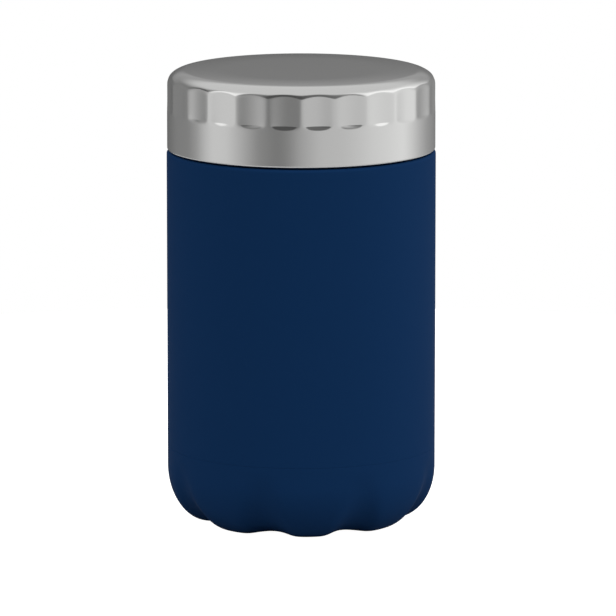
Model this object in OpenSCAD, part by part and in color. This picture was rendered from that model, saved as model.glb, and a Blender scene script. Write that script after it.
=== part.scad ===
// Insulated food jar: a double-walled steel jar on a scalloped foot, with a screw-on lid.
// Millimetres. +Z is up, the jar's axis is the Z axis, and the jar stands on Z = 0.

/* [Body] */
// Outer diameter of the jar
jar_d = 100; // [94:1:112]
// Height of the painted body, from the table to its shoulder
body_h = 139.4; // [125:0.2:180]
// Thickness of the outer steel sheet
shell_t = 0.5; // [0.4:0.05:0.7]
// Bend radius at the edge of the shoulder
shoulder_bend = 1.2; // [0.8:0.1:2.4]
// Height of the weld between the base cup and the tube
weld_h = 28.6; // [25:0.2:36]

/* [Base] */
// Number of lobes round the foot
lobes = 8; // [6:1:10]
// Width of the rounded corner, measured inwards from the wall
corner_w = 15.2; // [14:0.2:16]
// Height of the rounded corner
corner_h = 20.7; // [19:0.1:22]
// Radius of a groove across its length
groove_r = 16; // [14:0.5:20]
// Radius of the bend that a groove follows from the wall to the foot
groove_bend = 25; // [24:0.5:26]
// Height at which a groove leaves the wall
groove_top = 24.8; // [24:0.1:25.4]
// Width of the flat ring that the jar stands on
foot_w = 2.6; // [2:0.1:4]
// Height of the recess under the base
recess_h = 4; // [3.4:0.1:5]
// Sideways run of the recess's sloping wall
recess_run = 2.5; // [1.5:0.1:3.5]

/* [Evacuation port] */
// Radius of the port's well at the recess's floor
well_r = 7; // [6:0.5:9]
// Depth of the port's well
well_h = 1.6; // [1.2:0.1:2]
// Diameter of the evacuation port
port_d = 1.5; // [1:0.1:2.5]
// Diameter of the glass bead that seals the port
seal_d = 6; // [5:0.2:7]
// Thickness of the glass bead under the port
seal_t = 1.1; // [0.8:0.1:1.2]
// Diameter of the disc that covers the port
cover_d = 50; // [40:1:56]
// Thickness of that disc
cover_t = 0.6; // [0.4:0.1:0.8]

/* [Neck] */
// Width of the shoulder, from the jar's wall in to the neck
shoulder_w = 7; // [6.6:0.1:9]
// Height of the neck's rim above the shoulder
neck_h = 17.1; // [16:0.1:20]
// Thickness of the neck ring's sheet
neck_t = 0.6; // [0.5:0.05:0.8]
// Width of the neck ring's flange under the shoulder
neck_flange_w = 2.5; // [1.5:0.1:3]
// Running gap between the ring and the sheet round it
weld_gap = 0.05; // [0.02:0.01:0.1]

/* [Liner] */
// Thickness of the liner's sheet
liner_t = 0.5; // [0.4:0.05:0.6]
// Gap between the liner's neck and the neck ring
neck_gap = 0.9; // [0.6:0.05:2]
// Gap between the liner and the outer shell
vacuum_gap = 4.5; // [4:0.1:6]
// Gap between the liner's bottom and the base cup
bottom_gap = 5; // [4.8:0.1:8]
// Depth of the liner's neck below the shoulder
liner_neck_drop = 3.4; // [3:0.1:6]
// Height over which the liner widens below its neck
liner_shoulder_h = 7; // [6:0.5:12]
// Radius of the bends where the liner widens
liner_bend = 3; // [2:0.5:5]
// Radius of the bend at the rim
rim_bend = 0.9; // [0.6:0.1:1.2]
// Radius of the corner at the bottom of the liner
liner_corner = 14; // [10:1:18]
// Height of the weld between the liner's wall and its bottom
liner_weld_h = 40; // [34:1:60]

/* [Vacuum parts] */
// Thickness of the copper foil
foil_t = 0.15; // [0.1:0.05:0.25]
// Gap between the foil and the liner
foil_gap = 0.05; // [0.03:0.01:0.15]
// Diameter of the getter pill
getter_d = 10; // [8:0.5:11]
// Thickness of the getter pill
getter_t = 2.2; // [1.8:0.1:2.4]
// Distance from the axis to the getter
getter_offset = 17; // [16:0.5:19]
// Thickness of the getter's clip
clip_t = 0.4; // [0.3:0.05:0.5]
// Width of the getter's clip
clip_w = 6; // [4:0.5:8]
// Gap between the pill and its clip
clip_gap = 0.1; // [0.05:0.05:0.2]
// Length of the clip's lips over the pill
clip_lip = 1.4; // [1:0.1:2]

/* [Lid] */
// Height of the lid
lid_h = 29.8; // [28:0.1:36]
// Gap between the closed lid and the shoulder
lid_gap = 0.5; // [0.3:0.05:0.8]
// Step from the jar's wall in to the lid's wall
lid_step = 0.2; // [0:0.05:0.5]
// Thickness of the lid's steel sheet
lid_t = 0.6; // [0.5:0.05:0.7]
// Width of the rounded edge at the lid's top, measured inwards from the wall
edge_w = 7; // [6:0.1:8]
// Height of that rounded edge
edge_h = 5; // [4.4:0.1:5.6]
// Width of the hem turned in at the lid's bottom
hem_w = 1.75; // [1.6:0.05:2.2]
// Bend radius of the hem
hem_bend = 0.8; // [0.7:0.05:1]

/* [Grip] */
// Number of flutes round the lid
flutes = 25; // [20:1:30]
// Depth of a flute at its middle
flute_depth = 0.75; // [0.6:0.05:1.1]
// Radius of a flute across its length
flute_r = 60; // [45:1:90]
// Height of the flutes' lower ends above the lid's bottom
flute_low = 15.7; // [14:0.1:20]
// Height over which a flute's lower end runs out
flute_fade = 1.8; // [1.5:0.1:5]
// Angle from the front to the nearest flute
flute_turn = 2.6; // [0:0.1:14]

/* [Thread] */
// Number of thread starts
thread_starts = 2; // [2:1:3]
// Rise of the thread in one turn
thread_lead = 8; // [8:0.5:10]
// Angle that each ridge covers
thread_sweep = 210; // [150:5:220]
// Height of the ridges
thread_h = 1.15; // [0.9:0.05:1.3]
// Width of a ridge at its root
thread_root_w = 2.2; // [1.8:0.1:2.2]
// Width of a ridge at its crest
thread_crest_w = 1.2; // [0.8:0.1:1.2]
// Clearance between a crest and the opposite wall
thread_gap = 0.45; // [0.35:0.05:0.6]
// Clearance along the axis between engaged flanks
thread_play = 0.3; // [0.2:0.05:0.4]
// Height of the neck thread's lower end above the shoulder
thread_low = 4.6; // [4.2:0.1:6]

/* [Lid insert] */
// Wall of the threaded skirt
skirt_t = 2.4; // [1.8:0.1:2.6]
// Thickness of the flange that rests on the hem
insert_flange_t = 1.5; // [1.2:0.1:2]
// Thickness of the deck above the rim
deck_t = 1.8; // [1.5:0.1:2.2]
// Thickness of the ribs that key into the grip
rib_t = 2.4; // [1.6:0.1:3]
// Distance from the deck's top down to the ribs' tops
rib_drop = 1; // [0.5:0.1:3]
// Gap between the insert or foam and the steel cap
cap_gap = 0.15; // [0.1:0.05:0.3]
// Chamfer at the skirt's lower edge
lead_in = 0.8; // [0.5:0.1:1.2]

/* [Plug and seal] */
// Gap between the plug and the mouth
plug_gap = 1; // [0.8:0.05:1.5]
// Depth of the plug below the rim
plug_drop = 4; // [3:0.5:8]
// Wall of the plug
plug_t = 1.5; // [1.2:0.1:2]
// Width of the plug's flange on the deck
plug_flange_w = 4; // [3:0.2:5]
// Radius of the plug's lower edge
plug_edge = 1.8; // [1:0.1:2]
// Thickness of the sealing ring
gasket_t = 2.3; // [1.8:0.1:3]
// Gap between the sealing ring and the rim
gasket_gap = 0.3; // [0.2:0.05:0.4]
// Gap between the sealing ring and the walls beside it
gasket_side_gap = 0.3; // [0.2:0.05:0.4]
// Height of the bead that keeps the sealing ring on the plug
bead_h = 0.55; // [0.45:0.05:0.6]

/* [Hidden] */
$fn = 96;

NAVY = [0.055, 0.16, 0.29];
STEEL = [0.72, 0.72, 0.71];
LINER_STEEL = [0.66, 0.66, 0.66];
COPPER = [0.75, 0.45, 0.3];
GETTER = [0.35, 0.35, 0.37];
GLASS = [0.55, 0.5, 0.4];
PLASTIC = [0.2, 0.21, 0.22];
FOAM = [0.93, 0.93, 0.9];
SILICONE = [0.85, 0.87, 0.88];

over = 1;            // how far a cutter runs past what it cuts
bend_steps = 6;      // straight steps in a sheet's bend
corner_steps = 12;   // straight steps in the base's rounded corner
edge_steps = 8;      // straight steps in the lid's rounded edge
turn_step = 7.5;     // degrees between two sections of a thread ridge
taper_steps = 3;     // sections over which a ridge rises at each end
ridge_root = 0.3;    // how far a ridge's root runs into its wall
groove_side = 0.1;  // how far a groove's upper end lies outside the wall
foot_bend = 1;       // bend radius between the foot and the recess
recess_bend = 1.5;   // bend radius between the recess's wall and its floor
well_bend = 0.7;     // bend radius of the port's well
well_run = 3;        // sideways run of the well's wall

// Body radii and heights
jar_r = jar_d / 2;
shell_in_r = jar_r - shell_t;
foot_r = jar_r - corner_w;
foot_in_r = foot_r - foot_w;
recess_r = foot_in_r - recess_run;
groove_x = jar_r + groove_side - groove_bend;
port_z = recess_h + well_h;
floor_z = recess_h + shell_t;

// Neck and liner
neck_r = jar_r - shoulder_w;
neck_in_r = neck_r - neck_t;
mouth_r = neck_in_r - neck_gap - liner_t;
liner_r = shell_in_r - vacuum_gap - liner_t;
liner_out_r = liner_r + liner_t;
rim_z = body_h + neck_h;
neck_low_z = body_h - shell_t - neck_t;
liner_neck_z = body_h - liner_neck_drop;
liner_wide_z = liner_neck_z - liner_shoulder_h;
liner_floor_z = floor_z + bottom_gap + liner_t;
liner_corner_z = liner_floor_z + liner_corner;
clip_z = floor_z + clip_t;
clip_top_z = clip_z + getter_t + clip_gap;

// Lid
lid_r = jar_r - lid_step;
lid_z = body_h + lid_gap;
lid_top_z = lid_z + lid_h;
hem_r = lid_r - hem_w;
flute_floor_r = lid_r - flute_depth;
flute_axis_r = flute_floor_r + flute_r;
flute_z = lid_z + flute_low;
flute_front = -90 + flute_turn;

// Thread: the lid's ridges hang below the neck's ridges, with a small play between the flanks
crest_r = neck_r + thread_h;
bore_r = crest_r + thread_gap;
lid_crest_r = bore_r - thread_h;
ridge_mid_w = thread_root_w - (thread_root_w - thread_crest_w) * (bore_r - neck_r) / thread_h / 2;
ridge_drop = ridge_mid_w + thread_play;
neck_thread_z = body_h + thread_low;
lid_thread_z = neck_thread_z - ridge_drop;

// Insert, plug, seal and foam
insert_z = lid_z + lid_t;
insert_flange_r = lid_r - hem_bend;
skirt_r = bore_r + skirt_t;
rib_r = flute_floor_r - lid_t + cap_gap;
gasket_z = rim_z + gasket_gap;
deck_z = gasket_z + gasket_t;
deck_top_z = deck_z + deck_t;
plug_r = mouth_r - plug_gap;
plug_in_r = plug_r - plug_t;
plug_z = rim_z - plug_drop;
plug_flange_r = plug_r + plug_flange_w;
plug_top_z = deck_top_z + plug_t;
bead_r = plug_r + bead_h;
foam_r = flute_floor_r - lid_t - 2 * cap_gap;
foam_top_z = lid_top_z - lid_t - cap_gap;
foam_edge = edge_w - lid_t - cap_gap;

// ---- Outlines of drawn sheet ----

function unit(v) = v / norm(v);

// The arc of radius r that rounds corner b between points a and c
function bend(a, b, c, r) =
    let (u = unit(a - b), v = unit(c - b),
         half = acos(u * v) / 2,
         centre = b + unit(u + v) * r / sin(half),
         first = b + u * r / tan(half) - centre,
         side = sign(cross(b - a, c - b)),
         start = atan2(first.y, first.x),
         sweep = side * (180 - 2 * half))
    [for (i = [0 : bend_steps]) centre + r * [cos(start + sweep * i / bend_steps),
                                              sin(start + sweep * i / bend_steps)]];

// An outline whose corners [x, z, r] are rounded by r; a corner [x, z] stays sharp
function rounded(path) = [for (i = [0 : len(path) - 1])
    let (p = path[i])
    each len(p) < 3 ? [[p.x, p.y]]
        : bend([path[i - 1].x, path[i - 1].y], [p.x, p.y], [path[i + 1].x, path[i + 1].y], p[2])];

// The outline moved to its right-hand side by t
function inset(path, t) = [for (i = [0 : len(path) - 1])
    let (before = i == 0 ? path[1] - path[0] : path[i] - path[i - 1],
         after = i == len(path) - 1 ? before : path[i + 1] - path[i],
         n1 = unit([before.y, -before.x]),
         n2 = unit([after.y, -after.x]),
         n = unit(n1 + n2))
    path[i] + n * t / (n * n1)];

function reversed(list) = [for (i = [len(list) - 1 : -1 : 0]) list[i]];

function tail(list) = [for (i = [1 : len(list) - 1]) list[i]];

// Cross-section of a sheet of thickness t on the right-hand side of an outline
function sheet(path, t) = concat(path, reversed(inset(path, t)));

// Outer face of the base cup, from the weld down round the foot to the port
function base_outline() = concat(
    [[jar_r, weld_h]],
    [for (i = [0 : corner_steps])
        let (a = 90 * i / corner_steps)
        [foot_r + corner_w * cos(a), corner_h * (1 - sin(a))]],
    tail(rounded([[foot_r, 0], [foot_in_r, 0, foot_bend], [recess_r, recess_h, recess_bend],
                  [well_r, recess_h, well_bend], [well_r - well_run, port_z, well_bend],
                  [0, port_z]])));

// Outer face of the lid's cap, from its centre over the edge and down to the hem
function cap_outline() = concat(
    [[0, lid_top_z]],
    [for (i = [0 : edge_steps])
        let (a = 90 * i / edge_steps)
        [lid_r - edge_w * (1 - sin(a)), lid_top_z - edge_h * (1 - cos(a))]],
    tail(rounded([[lid_r, lid_top_z - edge_h], [lid_r, lid_z, hem_bend], [hem_r, lid_z]])));

// ---- Cutters ----

// One groove between two lobes: a round bar that bends from beside the wall to under the foot
module groove_cutter(grow) {
    translate([groove_x, 0, groove_top]) rotate([90, 90, 0])
        rotate_extrude(angle = 90) translate([groove_bend + groove_r, 0]) circle(r = groove_r + grow);
}

module grooves(grow) {
    for (i = [0 : lobes - 1])
        rotate([0, 0, -90 + (i + 0.5) * 360 / lobes]) groove_cutter(grow);
}

// Cross-section of the flutes: what round upright bars take away from the lid's edge
module flute_outline(grow) {
    inner_r = flute_floor_r - grow - over;
    half_w = (lid_r + over) * tan(180 / flutes);
    for (i = [0 : flutes - 1]) rotate(flute_front + i * 360 / flutes) intersection() {
        translate([flute_axis_r, 0]) circle(r = flute_r + grow);
        translate([inner_r, -half_w]) square([lid_r + over - inner_r, 2 * half_w]);
    }
}

// All flutes, which run out on a slope at their lower ends and at the lid's round edge above
module flute_cutter(grow) {
    out_r = lid_r + 2 * over;
    end_z = flute_z - flute_fade * (out_r - flute_floor_r) / flute_depth;
    ledge = inset([[flute_floor_r, flute_z], [out_r, end_z]], grow);
    intersection() {
        translate([0, 0, lid_z]) linear_extrude(lid_h + over) flute_outline(grow);
        rotate_extrude() polygon(concat([[ledge[0].x - over, ledge[0].y]], ledge,
            [[out_r, lid_top_z + over], [ledge[0].x - over, lid_top_z + over]]));
    }
}

module fluted(outline, grow) {
    difference() {
        rotate_extrude() polygon(outline);
        flute_cutter(grow);
    }
}

// One helical ridge from radius root to radius crest, rising counter-clockwise from height z
module ridge(root, crest, z, turn) {
    steps = round(thread_sweep / turn_step);
    inwards = crest < root;
    base = root + (inwards ? ridge_root : -ridge_root);
    base_w = thread_root_w + (thread_root_w - thread_crest_w) * ridge_root / thread_h;
    sections = [for (i = [0 : steps])
        let (rise = min(1, (i + 0.5) / taper_steps, (steps - i + 0.5) / taper_steps),
             a = turn + i * turn_step,
             zc = z + thread_lead * i * turn_step / 360,
             top = root + (crest - root) * rise)
        each [for (c = [[base, -base_w / 2], [base, base_w / 2],
                        [top, thread_crest_w / 2], [top, -thread_crest_w / 2]])
            [c[0] * cos(a), c[0] * sin(a), zc + c[1]]]];
    sides = [for (i = [0 : steps - 1], k = [0 : 3])
        let (p = 4 * i + k, q = 4 * i + (k + 1) % 4)
        each [[p, p + 4, q + 4], [p, q + 4, q]]];
    ends = [[0, 1, 2], [0, 2, 3],
            [4 * steps + 2, 4 * steps + 1, 4 * steps], [4 * steps + 3, 4 * steps + 2, 4 * steps]];
    faces = concat(sides, ends);
    polyhedron(sections, inwards ? [for (f = faces) reversed(f)] : faces);
}

module ridges(root, crest, z) {
    for (i = [0 : thread_starts - 1]) ridge(root, crest, z, i * 360 / thread_starts);
}

// ---- Jar ----

// Painted tube with a flat shoulder that reaches in to the neck
module outer_shell() {
    color(NAVY) rotate_extrude() polygon(sheet(rounded([
        [neck_r + weld_gap, body_h], [jar_r, body_h, shoulder_bend], [jar_r, weld_h]]), shell_t));
}

// Painted base cup with its lobes, foot ring, recess and evacuation port
module outer_base() {
    outer = base_outline();
    color(NAVY) difference() {
        rotate_extrude() polygon(concat([[0, weld_h]], outer));
        grooves(0);
        difference() {
            rotate_extrude() polygon(concat([[0, weld_h + over], [shell_in_r, weld_h + over]],
                inset(outer, shell_t)));
            grooves(shell_t);
        }
        cylinder(d = port_d, h = weld_h);
    }
}

// Bare steel neck with the outer thread, on a flange under the shoulder
module neck_ring() {
    color(STEEL) {
        rotate_extrude() polygon([[neck_in_r, neck_low_z],
            [neck_r + neck_flange_w, neck_low_z], [neck_r + neck_flange_w, neck_low_z + neck_t],
            [neck_r, neck_low_z + neck_t], [neck_r, rim_z - liner_t], [neck_in_r, rim_z - liner_t]]);
        ridges(neck_r, crest_r, neck_thread_z);
    }
}

// Liner wall, from the lip over the neck ring down to the weld with its bottom
module inner_vessel() {
    color(LINER_STEEL) rotate_extrude() polygon(sheet(rounded([
        [neck_r, rim_z], [mouth_r, rim_z, rim_bend], [mouth_r, liner_neck_z, liner_bend],
        [liner_r, liner_wide_z, liner_bend], [liner_r, liner_weld_h]]), -liner_t));
}

// Bottom cup of the liner
module inner_base() {
    color(LINER_STEEL) rotate_extrude() polygon(sheet(rounded([
        [liner_r, liner_weld_h], [liner_r, liner_floor_z, liner_corner], [0, liner_floor_z]]),
        -liner_t));
}

// Copper foil round the liner's straight wall
module foil_wrap() {
    r = liner_out_r + foil_gap;
    color(COPPER) translate([0, 0, liner_corner_z]) difference() {
        cylinder(r = r + foil_t, h = liner_wide_z - liner_bend - liner_corner_z);
        translate([0, 0, -over]) cylinder(r = r, h = liner_wide_z);
    }
}

// Copper foil under the liner's flat bottom
module foil_disc() {
    color(COPPER) translate([0, 0, liner_floor_z - liner_t - foil_gap - foil_t])
        cylinder(r = liner_r - liner_corner, h = foil_t);
}

// Spring clip on the base cup's floor, with two lips over the getter
module getter_clip() {
    half = getter_d / 2 + clip_gap;
    color(STEEL) translate([getter_offset, 0, 0]) {
        translate([-clip_w / 2, -half - clip_t, floor_z]) cube([clip_w, 2 * (half + clip_t), clip_t]);
        for (side = [0, 1]) mirror([0, side, 0]) translate([-clip_w / 2, 0, 0]) {
            translate([0, half, floor_z]) cube([clip_w, clip_t, clip_top_z + clip_t - floor_z]);
            translate([0, half + clip_t - clip_lip, clip_top_z]) cube([clip_w, clip_lip, clip_t]);
        }
    }
}

// Getter pill, which takes up the last gas in the vacuum
module getter_pill() {
    color(GETTER) translate([getter_offset, 0, clip_z]) cylinder(d = getter_d, h = getter_t);
}

// Glass bead in the well, with a stem in the port
module port_seal() {
    color(GLASS) {
        translate([0, 0, port_z - seal_t]) cylinder(d = seal_d, h = seal_t);
        translate([0, 0, port_z - over / 2])
            cylinder(d = port_d - 2 * weld_gap, h = over / 2 + shell_t);
    }
}

// Steel disc over the port, on the recess's floor
module base_cover() {
    color(STEEL) translate([0, 0, recess_h - cover_t]) cylinder(d = cover_d, h = cover_t);
}

// ---- Lid ----

// Steel cap with the grip flutes, and a hem turned in under the insert
module lid_shell() {
    outer = cap_outline();
    color(STEEL) difference() {
        fluted(concat(outer, [[0, lid_z]]), 0);
        fluted(concat(inset(outer, lid_t), [[0, insert_z]]), lid_t);
        translate([0, 0, lid_z - over]) cylinder(r = hem_r, h = lid_t + 2 * over);
    }
}

// Moulded ring with the inner thread, the deck over the rim and the ribs that key into the grip
module thread_insert() {
    flange_top_z = insert_z + insert_flange_t;
    color(PLASTIC) {
        rotate_extrude() polygon([[bore_r, insert_z + lead_in], [bore_r + lead_in, insert_z],
            [insert_flange_r, insert_z], [insert_flange_r, flange_top_z],
            [skirt_r, flange_top_z], [skirt_r, deck_top_z],
            [plug_r + cap_gap, deck_top_z], [plug_r + cap_gap, deck_z], [bore_r, deck_z]]);
        for (i = [0 : flutes - 1]) rotate([0, 0, flute_front + (i + 0.5) * 360 / flutes])
            translate([skirt_r - over, -rib_t / 2, flange_top_z - over])
                cube([rib_r - skirt_r + over, rib_t, deck_top_z - rib_drop - flange_top_z + over]);
        ridges(bore_r, lid_crest_r, lid_thread_z);
    }
}

// Moulded plug that hangs from the deck into the mouth, with the bead below the sealing ring
module plug_cup() {
    bead_z = gasket_z - gasket_side_gap;
    color(PLASTIC) rotate_extrude() polygon(rounded([[0, plug_z], [plug_r, plug_z, plug_edge],
        [plug_r, bead_z - 2 * bead_h], [bead_r, bead_z - bead_h], [bead_r, bead_z],
        [plug_r, bead_z], [plug_r, deck_top_z], [plug_flange_r, deck_top_z],
        [plug_flange_r, plug_top_z], [plug_in_r, plug_top_z],
        [plug_in_r, plug_z + plug_t, plug_edge / 2], [0, plug_z + plug_t]]));
}

// Insulation between the plug and the steel cap
module lid_foam() {
    color(FOAM) rotate_extrude() polygon(rounded([[0, plug_z + plug_t + cap_gap],
        [plug_in_r - cap_gap, plug_z + plug_t + cap_gap, plug_edge / 2],
        [plug_in_r - cap_gap, plug_top_z], [foam_r, plug_top_z], [foam_r, foam_top_z, foam_edge],
        [0, foam_top_z]]));
}

// Silicone sealing ring under the deck, above the rim
module lid_gasket() {
    inner = plug_r + gasket_side_gap;
    outer = bore_r - gasket_side_gap;
    color(SILICONE) rotate_extrude() translate([inner, gasket_z]) square([outer - inner, gasket_t]);
}

outer_shell();
outer_base();
neck_ring();
inner_vessel();
inner_base();
foil_wrap();
foil_disc();
getter_clip();
getter_pill();
port_seal();
base_cover();
lid_shell();
thread_insert();
plug_cup();
lid_foam();
lid_gasket();
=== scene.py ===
"""Insulated food jar with a screw-on lid: the shown pieces, their finishes and a small studio.

Lengths in the classes are millimetres; meshes are written in metres. +Z is up, the jar's axis is
the Z axis and the jar stands on Z = 0.
"""

import logging
import math
from dataclasses import dataclass
from enum import Enum

import bpy
import numpy as np
from mathutils import Matrix, Vector


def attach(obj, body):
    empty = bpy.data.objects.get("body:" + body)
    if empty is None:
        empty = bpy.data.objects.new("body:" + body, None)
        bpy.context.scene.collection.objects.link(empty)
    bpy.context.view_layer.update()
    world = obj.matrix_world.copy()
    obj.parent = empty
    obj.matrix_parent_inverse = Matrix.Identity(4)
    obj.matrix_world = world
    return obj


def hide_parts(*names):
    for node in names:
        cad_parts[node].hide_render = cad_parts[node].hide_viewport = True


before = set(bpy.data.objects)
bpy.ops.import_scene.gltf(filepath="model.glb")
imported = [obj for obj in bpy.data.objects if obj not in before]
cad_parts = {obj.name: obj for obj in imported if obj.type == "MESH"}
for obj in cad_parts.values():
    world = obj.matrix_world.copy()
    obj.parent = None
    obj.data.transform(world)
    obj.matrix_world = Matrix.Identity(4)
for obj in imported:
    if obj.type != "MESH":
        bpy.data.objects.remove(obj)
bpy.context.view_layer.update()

Socket, Tree, Material = bpy.types.NodeSocket, bpy.types.NodeTree, bpy.types.Material
Levels = tuple[tuple[float, float], ...]

LOG = logging.getLogger("jar")
MM = 0.001
FLAT_RUN = 0.25  # millimetres beside an arc that stay flat
FLUTES = 25  # flutes round the lid, and as many ribs inside it
FLUTE_FRONT = math.radians(-87.4)  # middle of the flute nearest to the front
CLOUD_SIZE = 18.0  # wavelength in millimetres of an uneven roughness
CLOUD_RANGE = (0.3, 0.7)  # holds nearly all of the noise's values


# ---- Outlines ----


def arc(before: np.ndarray, corner: np.ndarray, after: np.ndarray, radius: float, steps: int) -> np.ndarray:
    """Round one corner of an outline.

    Args:
        before: the outline's point before the corner.
        corner: the corner itself.
        after: the outline's point after the corner.
        radius: radius of the arc.
        steps: number of straight steps in the arc.

    Returns:
        Points of the arc, with one more at each end that keeps the straight runs beside it flat.
    """
    u, v = before - corner, after - corner
    u_len, v_len = np.linalg.norm(u), np.linalg.norm(v)
    u, v = u / u_len, v / v_len
    half = math.acos(float(np.clip(u @ v, -1, 1))) / 2
    reach = radius / math.tan(half)
    middle = (u + v) / np.linalg.norm(u + v)
    centre = corner + middle * radius / math.sin(half)
    first, last = corner + u * reach - centre, corner + v * reach - centre
    turn = math.pi - 2 * half
    t = np.linspace(0, 1, steps + 1)[:, None]
    points = centre + (np.sin((1 - t) * turn) * first + np.sin(t * turn) * last) / math.sin(turn)
    keep = [points]
    margin = min(FLAT_RUN, radius)
    if u_len > reach + 1.5 * margin:
        keep.insert(0, (corner + u * (reach + margin))[None])
    if v_len > reach + 1.5 * margin:
        keep.append((corner + v * (reach + margin))[None])
    return np.vstack(keep)


def rounded(corners: list[tuple[float, ...]], steps: int = 8, loop: bool = False) -> np.ndarray:
    """Turn corners into an outline.

    Args:
        corners: (radius from the axis, height) or, where the corner is rounded, also its radius.
        steps: number of straight steps in each arc.
        loop: True where the last corner joins the first.

    Returns:
        The outline as an array of (radius from the axis, height).
    """
    points = np.array([c[:2] for c in corners], float)
    parts = []
    for i, corner in enumerate(corners):
        if len(corner) == 3 and (loop or 0 < i < len(corners) - 1):
            before, after = points[i - 1], points[(i + 1) % len(points)]
            parts.append(arc(before, points[i], after, corner[2], steps))
        else:
            parts.append(points[i][None])
    return np.vstack(parts)


def smooth_step(t: np.ndarray) -> np.ndarray:
    """Rise from 0 to 1 with level ends, and stay at 0 before and at 1 after."""
    t = np.clip(t, 0, 1)
    return t * t * (3 - 2 * t)


def circle(steps: int) -> np.ndarray:
    """Even angles once round the axis, in radians."""
    return np.linspace(0, 2 * math.pi, steps, endpoint=False)


def swept(path: np.ndarray, columns: int) -> tuple[np.ndarray, np.ndarray]:
    """Repeat an outline for every column of a grid.

    Args:
        path: (n, 2) radius from the axis and height.
        columns: points round the axis.

    Returns:
        The (n, columns) radii and the (n, columns) heights.
    """
    return np.repeat(path[:, :1], columns, axis=1), np.repeat(path[:, 1:], columns, axis=1)


# ---- Meshes ----


def add_object(name: str, data: bpy.types.ID) -> bpy.types.Object:
    """Make an object and link it to the scene.

    Args:
        name: the object's name.
        data: its mesh, lamp or camera.

    Returns:
        The new object.
    """
    obj = bpy.data.objects.new(name, data)
    bpy.context.scene.collection.objects.link(obj)
    return obj


class Shape:
    """Vertices and faces that become one object."""

    def __init__(self, name: str) -> None:
        """Start an empty shape.

        Args:
            name: the object's name.
        """
        self.name = name
        self.vertices: list[np.ndarray] = []
        self.quads: list[np.ndarray] = []
        self.triangles: list[np.ndarray] = []
        self.count = 0

    def add(self, vertices: np.ndarray, quads: np.ndarray, triangles: np.ndarray | None = None) -> None:
        """Add one closed surface and turn its faces outwards.

        Args:
            vertices: (n, 3) points in millimetres.
            quads: (m, 4) indices into vertices.
            triangles: (k, 3) indices into vertices.
        """
        triangles = np.zeros((0, 3), int) if triangles is None else triangles
        split = np.vstack([quads[:, [0, 1, 2]], quads[:, [0, 2, 3]], triangles])
        a, b, c = (vertices[split[:, i]] for i in range(3))
        if np.sum(a * np.cross(b, c)) < 0:
            quads, triangles = quads[:, ::-1], triangles[:, ::-1]
        self.vertices.append(vertices)
        self.quads.append(quads + self.count)
        self.triangles.append(triangles + self.count)
        self.count += len(vertices)

    def turn(self, outline: np.ndarray, around: int = 256, loop: bool = True) -> None:
        """Add an outline turned round the axis.

        Args:
            outline: (n, 2) radius from the axis and height.
            around: number of steps round the axis.
            loop: True where the last point joins the first; otherwise both lie on the axis.
        """
        self.grid(*swept(outline, around), circle(around), loop)

    def grid(self, radius: np.ndarray, height: np.ndarray, angles: np.ndarray, loop: bool) -> None:
        """Add a surface given by a radius and a height at each step of its outline and each angle.

        Args:
            radius: (steps, angles) distances from the axis.
            height: (steps, angles) heights.
            angles: angles round the axis in radians.
            loop: True where the last step joins the first; otherwise both lie on the axis.
        """
        points = np.stack([radius * np.cos(angles), radius * np.sin(angles), height], 2)
        rows, columns = radius.shape
        if loop:
            self.add(points.reshape(-1, 3), lattice(rows, columns, True))
            return
        inner = points[1:-1].reshape(-1, 3)
        poles = np.array([[0, 0, height[0, 0]], [0, 0, height[-1, 0]]])
        n = len(inner)
        k = np.arange(columns)
        following = (k + 1) % columns
        last = (rows - 3) * columns
        fans = np.vstack([
            np.stack([following, k, np.full(columns, n)], 1),
            np.stack([last + k, last + following, np.full(columns, n + 1)], 1),
        ])
        self.add(np.vstack([inner, poles]), lattice(rows - 2, columns, False), fans)

    def box(self, low: np.ndarray, high: np.ndarray, turned: float) -> None:
        """Add a box turned round the axis.

        Args:
            low: the box's lowest corner before the turn.
            high: its highest corner before the turn.
            turned: angle of the turn in radians.
        """
        pick = np.array([[x, y, z] for z in (0, 1) for y in (0, 1) for x in (0, 1)])
        corners = np.where(pick == 1, high, low)
        spin = np.array(Matrix.Rotation(turned, 3, "Z"))
        quads = np.array([[0, 2, 3, 1], [4, 5, 7, 6], [0, 1, 5, 4], [2, 6, 7, 3], [0, 4, 6, 2], [1, 3, 7, 5]])
        self.add(corners @ spin.T, quads)

    def build(self, material: Material, body: str, slot: str, *nodes: str) -> bpy.types.Object:
        """Make the object.

        Args:
            material: the piece's finish.
            body: the body that it moves with.
            slot: name of the piece's material slot; not used.
            nodes: the CAD nodes that it stands for.

        Returns:
            The new object, in the scene.
        """
        vertices = np.vstack(self.vertices) * MM
        quads, triangles = np.vstack(self.quads), np.vstack(self.triangles)
        mesh = bpy.data.meshes.new(self.name)
        mesh.vertices.add(len(vertices))
        mesh.vertices.foreach_set("co", vertices.astype(np.float32).ravel())
        mesh.loops.add(quads.size + triangles.size)
        mesh.loops.foreach_set("vertex_index", np.concatenate([quads.ravel(), triangles.ravel()]))
        sizes = np.concatenate([np.full(len(quads), 4), np.full(len(triangles), 3)])
        mesh.polygons.add(len(sizes))
        mesh.polygons.foreach_set("loop_start", np.concatenate([[0], np.cumsum(sizes)[:-1]]))
        mesh.polygons.foreach_set("use_smooth", np.ones(len(sizes), bool))
        mesh.update(calc_edges=True)
        mesh.validate()
        mesh.materials.append(material)
        obj = add_object(self.name, mesh)
        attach(obj, body)
        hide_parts(*nodes)
        LOG.info("%s: %d faces, on %s", self.name, len(sizes), body)
        return obj


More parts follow.
